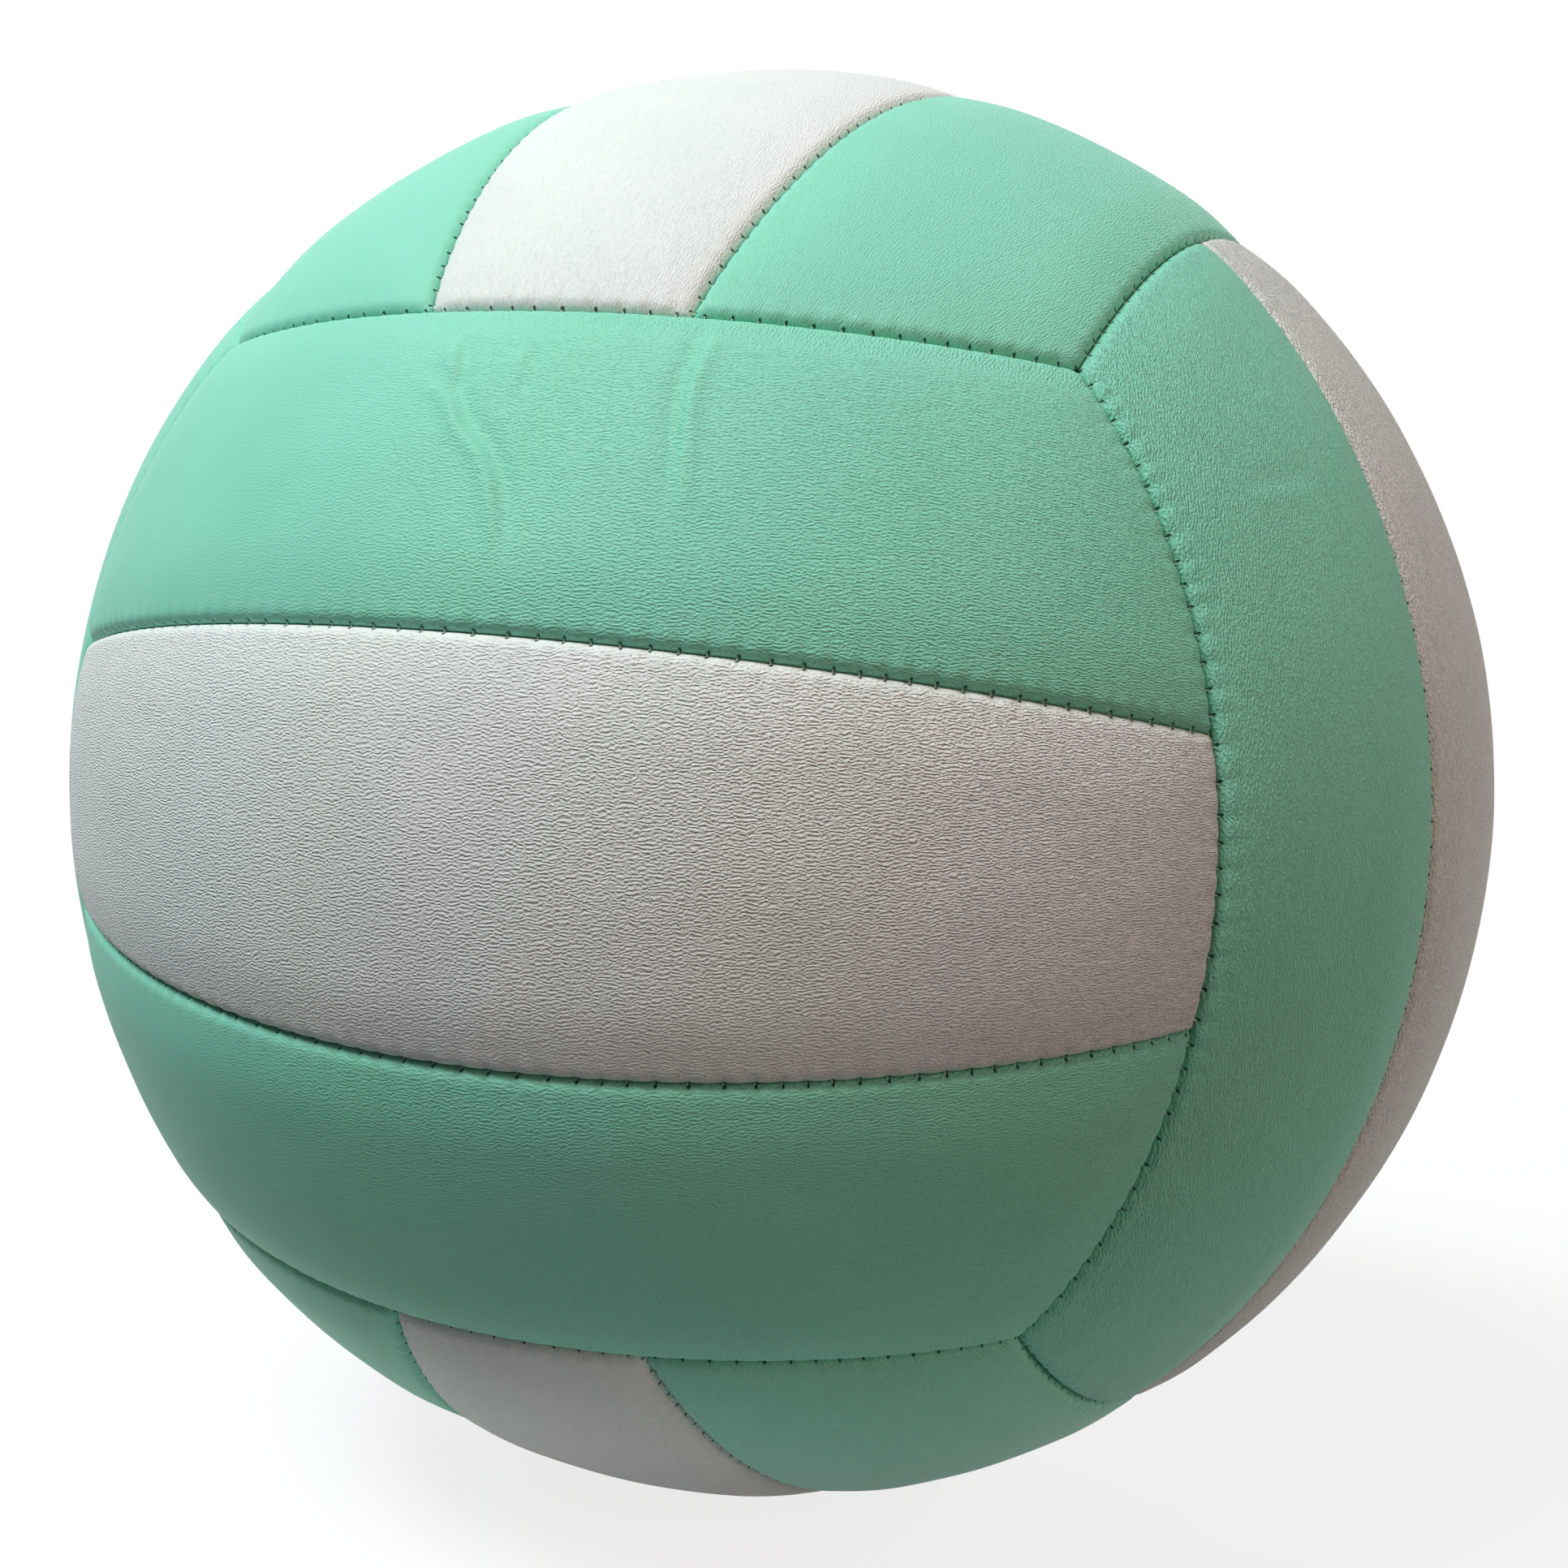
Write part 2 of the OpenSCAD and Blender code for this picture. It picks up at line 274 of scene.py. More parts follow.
class Nodes:
    """Short calls to build a node tree."""

    def __init__(self, tree):
        self.tree = tree
        tree.nodes.clear()

    def add(self, kind, **settings):
        node = self.tree.nodes.new(kind)
        for name, value in settings.items():
            setattr(node, name, value)
        return node

    def link(self, source, target):
        self.tree.links.new(source, target)

    def set(self, socket, value):
        if hasattr(value, "is_output"):
            self.link(value, socket)
        else:
            socket.default_value = value

    def math(self, operation, a, b=0.0):
        node = self.add("ShaderNodeMath", operation=operation)
        self.set(node.inputs[0], a)
        self.set(node.inputs[1], b)
        return node.outputs[0]

    def ramp(self, value, low, high, start=0.0, end=1.0):
        """start where value is at or under low, end where it is at or over high, smooth between."""
        node = self.add("ShaderNodeMapRange", interpolation_type="SMOOTHSTEP")
        self.set(node.inputs["Value"], value)
        self.set(node.inputs["From Min"], low)
        self.set(node.inputs["From Max"], high)
        self.set(node.inputs["To Min"], start)
        self.set(node.inputs["To Max"], end)
        return node.outputs["Result"]

    def mix(self, share, a, b):
        node = self.add("ShaderNodeMix", data_type="RGBA")
        self.set(node.inputs["Factor"], share)
        self.set(node.inputs[6], a if hasattr(a, "is_output") else (*a, 1))
        self.set(node.inputs[7], b if hasattr(b, "is_output") else (*b, 1))
        return node.outputs[2]

    def noise(self, vector, scale, detail=2.0, roughness=0.5, flat=False):
        node = self.add("ShaderNodeTexNoise", noise_dimensions="2D" if flat else "3D")
        self.set(node.inputs["Vector"], vector)
        node.inputs["Scale"].default_value = scale
        node.inputs["Detail"].default_value = detail
        node.inputs["Roughness"].default_value = roughness
        return node.outputs[0]

    def attribute(self, name):
        return self.add("ShaderNodeAttribute", attribute_name=name).outputs["Vector"]

    def parts(self, vector):
        node = self.add("ShaderNodeSeparateXYZ")
        self.link(vector, node.inputs[0])
        return node.outputs

    def shown(self):
        """1 for what the camera sees, also by reflection or through glass."""
        path = self.add("ShaderNodeLightPath").outputs
        seen = self.math("MAXIMUM", path["Is Camera Ray"], path["Is Glossy Ray"])
        return self.math("MAXIMUM", seen, path["Is Transmission Ray"])

    def scaled(self, vector, scale):
        node = self.add("ShaderNodeVectorMath", operation="MULTIPLY")
        self.link(vector, node.inputs[0])
        node.inputs[1].default_value = scale
        return node.outputs[0]


def new_material(name):
    material = bpy.data.materials.new(name)
    material.use_nodes = True
    return material, Nodes(material.node_tree)


def make_world():
    world = bpy.data.worlds.new("studio")
    bpy.context.scene.world = world
    world.use_nodes = True
    n = Nodes(world.node_tree)
    light = n.add("ShaderNodeBackground")
    light.inputs["Color"].default_value = (1, 1, 1, 1)
    light.inputs["Strength"].default_value = AMBIENT
    white = n.add("ShaderNodeBackground")
    white.inputs["Color"].default_value = (1, 1, 1, 1)
    white.inputs["Strength"].default_value = 1.0
    both = n.add("ShaderNodeMixShader")
    n.link(n.shown(), both.inputs[0])
    n.link(light.outputs[0], both.inputs[1])
    n.link(white.outputs[0], both.inputs[2])
    out = n.add("ShaderNodeOutputWorld")
    n.link(both.outputs[0], out.inputs["Surface"])


def floor_material():
    """Pale, with the ball's shadow near it, running out into the white behind."""
    material, n = new_material("floor_white")
    paint = n.add("ShaderNodeBsdfDiffuse")
    paint.inputs["Color"].default_value = FLOOR_PAINT
    glow = n.add("ShaderNodeEmission")
    glow.inputs["Strength"].default_value = FLOOR_GLOW
    near = n.add("ShaderNodeAddShader")
    n.link(paint.outputs[0], near.inputs[0])
    n.link(glow.outputs[0], near.inputs[1])
    white = n.add("ShaderNodeEmission")
    white.inputs["Strength"].default_value = 1.0
    place = n.add("ShaderNodeTexCoord").outputs["Object"]
    away = n.add("ShaderNodeVectorMath", operation="LENGTH")
    n.link(place, away.inputs[0])
    shown = n.add("ShaderNodeMixShader")
    n.link(n.ramp(away.outputs["Value"], *FLOOR_WHITE), shown.inputs[0])
    n.link(near.outputs[0], shown.inputs[1])
    n.link(white.outputs[0], shown.inputs[2])
    bounce = n.add("ShaderNodeBsdfDiffuse")
    n.link(
        n.ramp(away.outputs["Value"], *SHEET_EDGE, SHEET_BOUNCE, FLOOR_BOUNCE),
        bounce.inputs["Color"],
    )
    seen = n.add("ShaderNodeMixShader")
    n.link(n.shown(), seen.inputs[0])
    n.link(bounce.outputs[0], seen.inputs[1])
    n.link(shown.outputs[0], seen.inputs[2])
    out = n.add("ShaderNodeOutputMaterial")
    n.link(seen.outputs[0], out.inputs["Surface"])
    return material


def make_floor():
    mesh = bpy.data.meshes.new("floor")
    side, low = FLOOR_SIDE, -BALL_R * MM
    mesh.from_pydata(
        [(-side, -side, low), (side, -side, low), (side, side, low), (-side, side, low)],
        [],
        [(0, 1, 2, 3)],
    )
    floor = bpy.data.objects.new("floor", mesh)
    bpy.context.scene.collection.objects.link(floor)
    floor.data.materials.append(floor_material())


# ---- the seams ----


class Seam:
    """A circle on the ball about an axis. Its turn is counted from the direction start."""

    def __init__(self, axis, start, angle, half_turn):
        self.axis = np.array(axis, float)
        self.start = np.array(start, float)
        self.side = np.array([1.0, 0, 0]) if abs(self.axis[0]) < 1e-9 else np.array([0, 1.0, 0])
        self.angle = angle
        self.half_turn = half_turn

    def point(self, turn):
        turn = np.asarray(turn, float)[..., None]
        ring = np.cos(turn) * self.start + np.sin(turn) * self.side
        return math.cos(self.angle) * self.axis + math.sin(self.angle) * ring

    def inside(self, ways):
        """How far, in millimetres along the ball, these directions are inside the circle."""
        return (self.angle - np.arccos(np.clip(ways @ self.axis, -1, 1))) * BALL_R

    def turn(self, ways):
        return np.arctan2(ways @ self.side, ways @ self.start)

    def length(self):
        """Half the seam's length."""
        return self.half_turn * BALL_R * math.sin(self.angle)


def seam_values():
    corner = 1 / math.sqrt(3)
    out = math.sin(rad(45 + SEAM_BOW)) - corner
    up = math.cos(rad(45 + SEAM_BOW)) - corner
    lean = math.atan2(up, out)
    angle = math.acos(corner * (math.cos(lean) - math.sin(lean)))
    half_turn = math.asin(corner / math.sin(angle))
    waist = np.array([MIDDLE_W / 2, math.sqrt(BALL_R**2 - MIDDLE_W**2 / 4)])
    tip_ring = math.sqrt(BALL_R**2 - MIDDLE_END_W**2 / 4)
    tip_turn = math.acos(BALL_R * math.cos(angle) / tip_ring) - lean
    tip = np.array([MIDDLE_END_W / 2, tip_ring * math.cos(tip_turn)])
    strip_lean = math.atan2(waist[0] - tip[0], waist[1] - tip[1])
    axis = np.array([math.cos(strip_lean), -math.sin(strip_lean)])
    strip_angle = math.acos(float(waist @ axis) / BALL_R)
    strip_half_turn = math.asin(tip_ring * math.sin(tip_turn) / (BALL_R * math.sin(strip_angle)))
    tip_on_end = math.asin(MIDDLE_END_W / 2 / (BALL_R * math.sin(angle)))
    return lean, angle, half_turn, strip_lean, strip_angle, strip_half_turn, tip_on_end


(END_LEAN, END_ANGLE, END_HALF_TURN,
 STRIP_LEAN, STRIP_ANGLE, STRIP_HALF_TURN, TIP_ON_END) = seam_values()


def end_seam(way):
    c, s = math.cos(END_LEAN), math.sin(END_LEAN)
    return Seam((0, -way * s, c), (0, way * c, s), END_ANGLE, END_HALF_TURN)


def strip_seam(way):
    c, s = math.cos(STRIP_LEAN), math.sin(STRIP_LEAN)
    return Seam((way * c, 0, -s), (way * s, 0, c), STRIP_ANGLE, STRIP_HALF_TURN)


def next_seam(way):
    """The end seam of the face beyond the long side of an outer panel."""
    c, s = math.cos(END_LEAN), math.sin(END_LEAN)
    return Seam((way * c, 0, -s), (way * s, 0, c), END_ANGLE, END_HALF_TURN)


def turned(x, y, z):
    """The rotation by x, then y, then z degrees."""
    by_x, by_y, by_z = (Matrix.Rotation(rad(a), 3, axis) for a, axis in zip((x, y, z), "XYZ"))
    return np.array(by_z @ by_y @ by_x)


# Each face: the turn that brings the top face there, and its panels' names.
FACES = {
    "top": (turned(0, 0, 0), ("left", "middle", "right")),
    "bottom": (turned(180, 0, 0), ("left", "middle", "right")),
    "right": (turned(90, 0, 90), ("front", "middle", "back")),
    "left": (turned(90, 0, -90), ("back", "middle", "front")),
    "front": (turned(0, -90, 90), ("lower", "middle", "upper")),
    "back": (turned(0, -90, -90), ("lower", "middle", "upper")),
}


def stitch_phase(seam, ways, turn):
    """How many stitches along its seam each direction is, the same for both panels of a seam."""
    share = np.clip(seam.turn(ways) / seam.half_turn, -1.2, 1.2)
    along = turn @ seam.side
    share = share * np.sign(along[np.argmax(np.abs(along))])
    on_ball = ways @ turn.T
    drift = sum(much * np.sin(on_ball @ np.array(wave)) for much, wave in STITCH_DRIFT)
    return seam.length() / STITCH_PITCH * share * (1 + STITCH_CROWDING * share**2) + drift + 0.5


# ---- the panels ----


class Outline:
    """A panel of the top face, between two long sides and two ends."""

    def __init__(self, side):
        self.far = [end_seam(-1), end_seam(1)]
        if side == 1:
            self.long = [strip_seam(-1), strip_seam(1)]
            self.signs = [-1, -1]
            self.end_turns = [-TIP_ON_END, TIP_ON_END]
            self.width, self.reach = MIDDLE_SIZE
        elif side == 2:
            self.long = [strip_seam(1), next_seam(1)]
            self.signs = [1, -1]
            self.end_turns = [TIP_ON_END, END_HALF_TURN]
            self.width, self.reach = OUTER_SIZE
        else:
            self.long = [next_seam(-1), strip_seam(-1)]
            self.signs = [-1, 1]
            self.end_turns = [-END_HALF_TURN, -TIP_ON_END]
            self.width, self.reach = OUTER_SIZE

    def ways(self, a, b):
        """Directions at the shares a across and b along the panel."""
        a, b = np.asarray(a)[:, None, None], np.asarray(b)[None, :, None]
        low, high = (
            s.point((2 * b[..., 0] - 1) * s.half_turn) for s in self.long
        )
        t = self.end_turns[0] + a[..., 0] * (self.end_turns[1] - self.end_turns[0])
        near, far = (s.point(t) for s in self.far)
        c = [[s.point(np.array(turn)) for turn in self.end_turns] for s in self.far]
        flat = (1 - b) * ((1 - a) * c[0][0] + a * c[0][1]) + b * ((1 - a) * c[1][0] + a * c[1][1])
        return unit((1 - a) * low + a * high + (1 - b) * near + b * far - flat)

    def distances(self, ways):
        """Distances to the two long sides and the two ends."""
        longs = [sign * s.inside(ways) for s, sign in zip(self.long, self.signs)]
        return longs + [s.inside(ways) for s in self.far]


def rows(length, step):
    """Shares of a length: close beside both seams, even between them, a multiple of 8 cells."""
    edge = np.array(EDGE_ROWS) + SEAM_GAP / 2
    count = 8 * max(1, round((length - 2 * edge[-1]) / step / 8)) + 8 - (2 * (len(edge) - 1)) % 8
    middle = np.linspace(edge[-1], length - edge[-1], count + 1)[1:-1]
    return np.concatenate([edge, middle, length - edge[::-1]]) / length


def smooth_line(line):
    """A curve of directions on the ball through the marks of a crease."""
    marks = np.array([direction(*p) for p in line])
    marks = np.concatenate([[2 * marks[0] - marks[1]], marks, [2 * marks[-1] - marks[-2]]])
    out = []
    for a, b, c, d in zip(marks, marks[1:], marks[2:], marks[3:]):
        for t in np.linspace(0, 1, 8, endpoint=False):
            out.append(
                0.5 * (2 * b + (c - a) * t + (2 * a - 5 * b + 4 * c - d) * t**2
                       + (3 * b - a - 3 * c + d) * t**3)
            )
    return unit(np.array(out + [marks[-2]]))


CREASE_LINES = [(depth, smooth_line(line)) for depth, line in CREASES]


def crease_gaps(on_ball):
    """For each crease near: the signed distance in millimetres, and how strong it is there."""
    shape = on_ball.shape[:-1]
    for depth, points in CREASE_LINES:
        if np.max(on_ball.reshape(-1, 3) @ unit(points.mean(0))) < 0.9:
            continue
        near, sign, along = np.full(shape, FAR), np.ones(shape), np.zeros(shape)
        for k, (p, q) in enumerate(zip(points, points[1:])):
            span = q - p
            share = np.clip(((on_ball - p) @ span) / (span @ span), 0, 1)
            off = (on_ball - p - share[..., None] * span) * BALL_R
            length = np.linalg.norm(off, axis=-1)
            closer = length < near
            near = np.where(closer, length, near)
            sign = np.where(closer, np.sign(off @ np.cross(p, span)), sign)
            along = np.where(closer, (k + share) / (len(points) - 1), along)
        faded = smooth_fall(np.minimum(along, 1 - along) / CREASE_FADE)
        yield near * sign, depth * (1 - faded)


def nearest_crease(on_ball):
    """Signed distance to the nearest crease in millimetres, and how strong the crease is there."""
    gap, strength = np.full(on_ball.shape[:-1], FAR), np.zeros(on_ball.shape[:-1])
    for new_gap, new_strength in crease_gaps(on_ball):
        closer = np.abs(new_gap) < np.abs(gap)
        gap = np.where(closer, new_gap, gap)
        strength = np.where(closer, new_strength, strength)
    return gap, strength


def crease_drop(on_ball):
    """The soft step across each crease. The sharp line in it is the material's."""
    drop = np.zeros(on_ball.shape[:-1])
    for gap, strength in crease_gaps(on_ball):
        share = gap / CREASE_W
        drop = drop + CREASE_STEP * strength * share * np.exp(-(share**2))
    return drop


def unevenness(on_ball, seed):
    """Soft lows and highs of the padding, from -1 to 1."""
    rng = np.random.default_rng(seed)
    total = np.zeros(on_ball.shape[:-1])
    for size in UNEVEN_SIZES:
        for _ in range(3):
            wave = unit(rng.normal(size=3)) * 2 * math.pi * BALL_R / size
            total += np.sin(on_ball @ wave + rng.uniform(0, 6.28)) * (size / UNEVEN_SIZES[0]) ** 0.8
    return total / 6


def outer_radius(outline, ways, turn, seed, ease):
    """The radius of the skin's outer face in these directions, with each side's puckers eased."""
    on_ball = ways @ turn.T
    gaps = [np.maximum(g, 0) for g in outline.distances(ways)]
    seams = outline.long + outline.far
    phases = [stitch_phase(s, ways, turn) for s in seams]
    crown, shoulder, pull, bulge = 0.0, 0.0, 0.0, 0.0
    for gap, phase, share in zip(gaps, phases, ease):
        off = np.abs(phase - np.round(phase)) * STITCH_PITCH
        at_stitch = share * np.exp(-((off / STITCH_PULL_W) ** 2))
        radius = SHOULDER_R * (0.9 + 0.2 * at_stitch)
        crown = crown + np.clip(1 - gap / CROWN_REACH, 0, 1) ** 4
        shoulder = shoulder + (np.clip(radius - gap, 0, None) / radius) ** 4
        near = np.exp(-((gap / STITCH_PULL_REACH) ** 2))
        pull = np.maximum(pull, at_stitch * near)
        on_bulge = np.exp(-(((gap - BULGE_AT[0]) / BULGE_AT[1]) ** 2))
        bulge = np.maximum(bulge, (share - at_stitch) * on_bulge)
    crown = CROWN_DROP * np.minimum(crown**0.5, 1.1)
    share = np.minimum(shoulder**0.25, 1)
    drop = crown + SHOULDER_R * (1 - np.sqrt(1 - share**2))
    drop = drop + STITCH_PULL * pull * (1 - 0.7 * share**6) - BULGE * bulge
    inner = smooth_fall(1 - np.minimum.reduce(gaps) / 12)
    drop = drop + UNEVEN * (0.5 + 0.5 * inner) * (unevenness(on_ball, seed) + 0.6)
    return BALL_R - drop - crease_drop(on_ball)


def hole_drop(ways):
    """The rounded lip of the skin round the valve's hole."""
    gap = np.clip(np.hypot(ways[..., 0], ways[..., 1]) * BALL_R - HOLE_R, 0, 1)
    return 1 - np.sqrt(1 - (1 - gap) ** 2) + 0.25 * np.exp(-gap)


def around(rows_n, columns_n):
    """The border of a grid of points, once round against the clock."""
    lower = [(i, 0) for i in range(rows_n - 1)]
    right = [(rows_n - 1, j) for j in range(columns_n - 1)]
    upper = [(i, columns_n - 1) for i in range(rows_n - 1, 0, -1)]
    left = [(0, j) for j in range(columns_n - 1, 0, -1)]
    return lower + right + upper + left


class Shell:
    """Points and faces of a closed skin, gathered part by part."""

    def __init__(self):
        self.points, self.ways, self.faces, self.count = [], [], [], 0

    def add(self, ways, radius):
        ways = ways.reshape(-1, 3)
        radius = np.broadcast_to(np.asarray(radius).reshape(-1), len(ways))
        first = self.count
        self.points.append(ways * radius[:, None])
        self.ways.append(ways)
        self.count += len(ways)
        return np.arange(first, self.count)

    def grid(self, index, down=False, hole=None):
        for i in range(index.shape[0] - 1):
            for j in range(index.shape[1] - 1):
                if hole and hole[0] <= i < hole[1] and hole[2] <= j < hole[3]:
                    continue
                face = (index[i, j], index[i + 1, j], index[i + 1, j + 1], index[i, j + 1])
                self.faces.append(face[::-1] if down else face)

    def band(self, upper, lower):
        """Faces between two rings, that look outwards from rings that run against the clock."""
        n = len(upper)
        for k in range(n):
            m = (k + 1) % n
            self.faces.append((upper[k], lower[k], lower[m], upper[m]))

    def fold(self, fine, coarse):
        """Faces that join a fine ring to a coarse one inside it, seen from below."""
        n, m = len(fine), len(coarse)
        step = n // m
        for k in range(m):
            run = [fine[(k * step + s) % n] for s in range(step, -1, -1)]
            self.faces.append([coarse[k], coarse[(k + 1) % m]] + run)


def rings_to_circle(shell, ring, ring_ways, radius, finish, shares, down=False):
    """Joins a square ring to a round one about the panel's middle. Returns the last ring."""
    flat = ring_ways[:, :2] / ring_ways[:, 2:] * BALL_R
    turn = np.arctan2(flat[:, 1], flat[:, 0])
    circle = radius * np.stack([np.cos(turn), np.sin(turn)], -1)
    last = ring
    for share in shares:
        place = flat + (circle - flat) * share
        ways = unit(np.concatenate([place, np.full((len(place), 1), BALL_R)], -1))
        index = shell.add(ways, finish(ways))
        if down:
            shell.band(last, index)
        else:
            shell.band(index, last)
        last = index
    return last, ways


def block_ring(block):
    """The border of a block of cells, as places in the grid."""
    i0, i1, j0, j1 = block
    return [(i0 + i, j0 + j) for i, j in around(i1 - i0 + 1, j1 - j0 + 1)]


def middle_block(grid, cells):
    """A square block of cells in the middle of a grid of points."""
    i0, j0 = ((count - 1 - cells) // 2 for count in grid.shape[:2])
    return i0, i0 + cells, j0, j0 + cells


def make_panel(face, side, fine=False):
    turn, names = FACES[face]
    name = names[side]
    seed = sorted(FACES).index(face) * 3 + side
    outline = Outline(side)
    step = FINE_STEP if fine else STEP
    a, b = rows(outline.width, step), rows(outline.reach, step)
    ways = outline.ways(a, b)
    valve = face == "back" and side == 1
    ease = EASY_SIDES.get((face, side), (1.0, 1.0, 1.0, 1.0))

    def finish(w):
        radius = outer_radius(outline, w, turn, seed, ease)
        return radius - hole_drop(w) if valve else radius

    shell = Shell()
    index = shell.add(ways, finish(ways)).reshape(ways.shape[:2])
    block = middle_block(index, HOLE_CELLS) if valve else None
    shell.grid(index, hole=block)
    ring = around(*index.shape)
    rim = np.array([index[p] for p in ring])
    rim_ways = np.array([ways[p] for p in ring])
    last = rim
    for radius in EDGE_RINGS:
        lower = shell.add(rim_ways, radius)
        shell.band(last, lower)
        last = lower
    fold = SKIN_T
    ca = np.linspace(fold / outline.width, 1 - fold / outline.width, (len(a) - 1) // COARSE + 1)
    cb = np.linspace(fold / outline.reach, 1 - fold / outline.reach, (len(b) - 1) // COARSE + 1)
    back_ways = outline.ways(ca, cb)
    under = np.minimum(SKIN_IN_R, finish(back_ways) - SKIN_LEAST)
    inner = shell.add(back_ways, under).reshape(back_ways.shape[:2])
    back_block = tuple(v // COARSE for v in block) if block else None
    shell.grid(inner, down=True, hole=back_block)
    inner_ring = around(*inner.shape)
    inner_rim = np.array([inner[p] for p in inner_ring])
    low_rim = shell.add(np.array([back_ways[p] for p in inner_ring]), FOLD_R)
    shell.fold(last, low_rim)
    shell.band(low_rim, inner_rim)
    if valve:
        square = block_ring(block)
        lip, lip_ways = rings_to_circle(
            shell,
            np.array([index[p] for p in square]),
            np.array([ways[p] for p in square]),
            HOLE_R,
            finish,
            LIP_SHARES,
        )
        low_lip = shell.add(lip_ways, SKIN_IN_R)
        shell.band(low_lip, lip)
        hole_ring = [inner[p] for p in block_ring(back_block)]
        step_n = len(low_lip) // len(hole_ring)
        n = len(low_lip)
        for k in range(len(hole_ring)):
            run = [low_lip[(k * step_n + s) % n] for s in range(step_n + 1)]
            shell.faces.append(run + [hole_ring[(k + 1) % len(hole_ring)], hole_ring[k]])
    piece = shell_object(f"skin_{face}_{name}", shell, outline, turn, seed)
    piece.data.materials.append(STUFFS["white" if side == 1 else "mint"])
    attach(piece, BODY)
    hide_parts(f"panel_{face}_{name}")


def pad_rows(length, cells):
    """Shares of a length for a pad: close at its edges, even between them."""
    inner = length - 2 * PAD_INSET
    middle = np.linspace(1.5, inner - 1.5, cells - 3)
    return np.concatenate([[0, 0.6], middle, [inner - 0.6, inner]]) / length + PAD_INSET / length


def make_pad(face, side):
    """The foam and cloth pad under a skin, with rounded edges and room for the valve's patch."""
    turn, names = FACES[face]
    seed = sorted(FACES).index(face) * 3 + side
    outline = Outline(side)
    a, b = (pad_rows(*size) for size in zip((outline.width, outline.reach), PAD_CELLS))
    ways = outline.ways(a, b)

    def top(w):
        edge = smooth_fall((np.minimum.reduce(outline.distances(w)) - PAD_INSET) / PAD_ROUND)
        over = outer_radius(outline, w, turn, seed, (1.0,) * 4) - PAD_UNDER
        return np.minimum(PAD_OUT_R, over) - 0.5 * edge

    valve = face == "back" and side == 1
    shell = Shell()
    upper = shell.add(ways, top(ways)).reshape(ways.shape[:2])
    lower = shell.add(ways, PAD_IN_R).reshape(ways.shape[:2])
    block = middle_block(upper, PAD_HOLE_CELLS) if valve else None
    shell.grid(upper, hole=block)
    shell.grid(lower, down=True, hole=block)
    rim = around(*upper.shape)
    shell.band([upper[p] for p in rim], [lower[p] for p in rim])
    if valve:
        square = block_ring(block)
        square_ways = np.array([ways[p] for p in square])
        lip, _ = rings_to_circle(
            shell, [upper[p] for p in square], square_ways, HOLE_R, top, (0.3, 0.6, 0.85, 1.0)
        )
        low_square = [lower[p] for p in square]
        edge, edge_ways = rings_to_circle(
            shell, low_square, square_ways, PATCH_HOLE_R, lambda w: PAD_IN_R, (0.5, 1.0), True
        )
        step = shell.add(edge_ways, PAD_IN_R + PATCH_ROOM)
        shell.band(edge, step)
        last, _ = rings_to_circle(
            shell, step, edge_ways, HOLE_R, lambda w: PAD_IN_R + PATCH_ROOM, (0.5, 1.0), True
        )
        shell.band(last, lip)
    piece = shell_object(f"pad_{face}_{names[side]}", shell, outline, turn, seed)
    piece.data.materials.append(STUFFS["foam"])
    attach(piece, BODY)
    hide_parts(f"backing_{face}_{names[side]}")


def shell_object(name, shell, outline, turn, seed):
    points = np.concatenate(shell.points)
    ways = np.concatenate(shell.ways)
    on_ball = ways @ turn.T
    mesh = bpy.data.meshes.new(name)
    mesh.from_pydata((points @ turn.T * MM).tolist(), [], [list(map(int, f)) for f in shell.faces])
    used = np.zeros(len(points), bool)
    for face in shell.faces:
        used[list(face)] = True
    seams = outline.long + outline.far
    gaps = [np.maximum(g, 0) for g in outline.distances(ways)]
    phases = [stitch_phase(s, ways, turn) for s in seams]
    depth = BALL_R - np.linalg.norm(points, axis=1)
    for label, first in (("long_stitch", 0), ("end_stitch", 2)):
        low = gaps[first] < gaps[first + 1]
        phase = np.where(low, phases[first], phases[first + 1])
        gap = np.where(low, gaps[first], gaps[first + 1])
        store(mesh, label, np.stack([phase, gap, depth], -1))
    near, far = TURNED_GRAIN
    edges = [gap for gap, side in zip(gaps, outline.long) if side.angle == END_ANGLE]
    turns = edges and name.split("_")[1] == "front"
    turned_grain = smooth_fall((edges[0] - near) / (far - near)) if turns else 0 * depth
    store(mesh, "crease", np.stack([*nearest_crease(on_ball), turned_grain], -1))
    across = np.arctan2(ways[:, 0], ways[:, 2]) * BALL_R
    along = np.arctan2(ways[:, 1], np.hypot(ways[:, 0], ways[:, 2])) * BALL_R
    kind = "white" if name.endswith("middle") else "mint"
    by_place = np.interp(on_ball[:, 0], *GRAIN_BY_PLACE[kind])
    share = GRAIN_SHARE.get(name.split("_")[1], 1.0) * by_place
    store(mesh, "grain", np.stack([across + seed * 200.0, along, share], -1))
    mesh.validate()
    if not used.all():
        drop_unused(mesh, used)
    mesh.shade_smooth()
    piece = bpy.data.objects.new(name, mesh)
    bpy.context.scene.collection.objects.link(piece)
    return piece


def store(mesh, name, values):
    layer = mesh.attributes.new(name, "FLOAT_VECTOR", "POINT")
    layer.data.foreach_set("vector", values.astype(np.float32).ravel())


def drop_unused(mesh, used):
    bm = bmesh.new()
    bm.from_mesh(mesh)
    bm.verts.ensure_lookup_table()
    bmesh.ops.delete(bm, geom=[bm.verts[i] for i in np.flatnonzero(~used)], context="VERTS")
    bm.to_mesh(mesh)
    bm.free()


# ---- the stitches ----


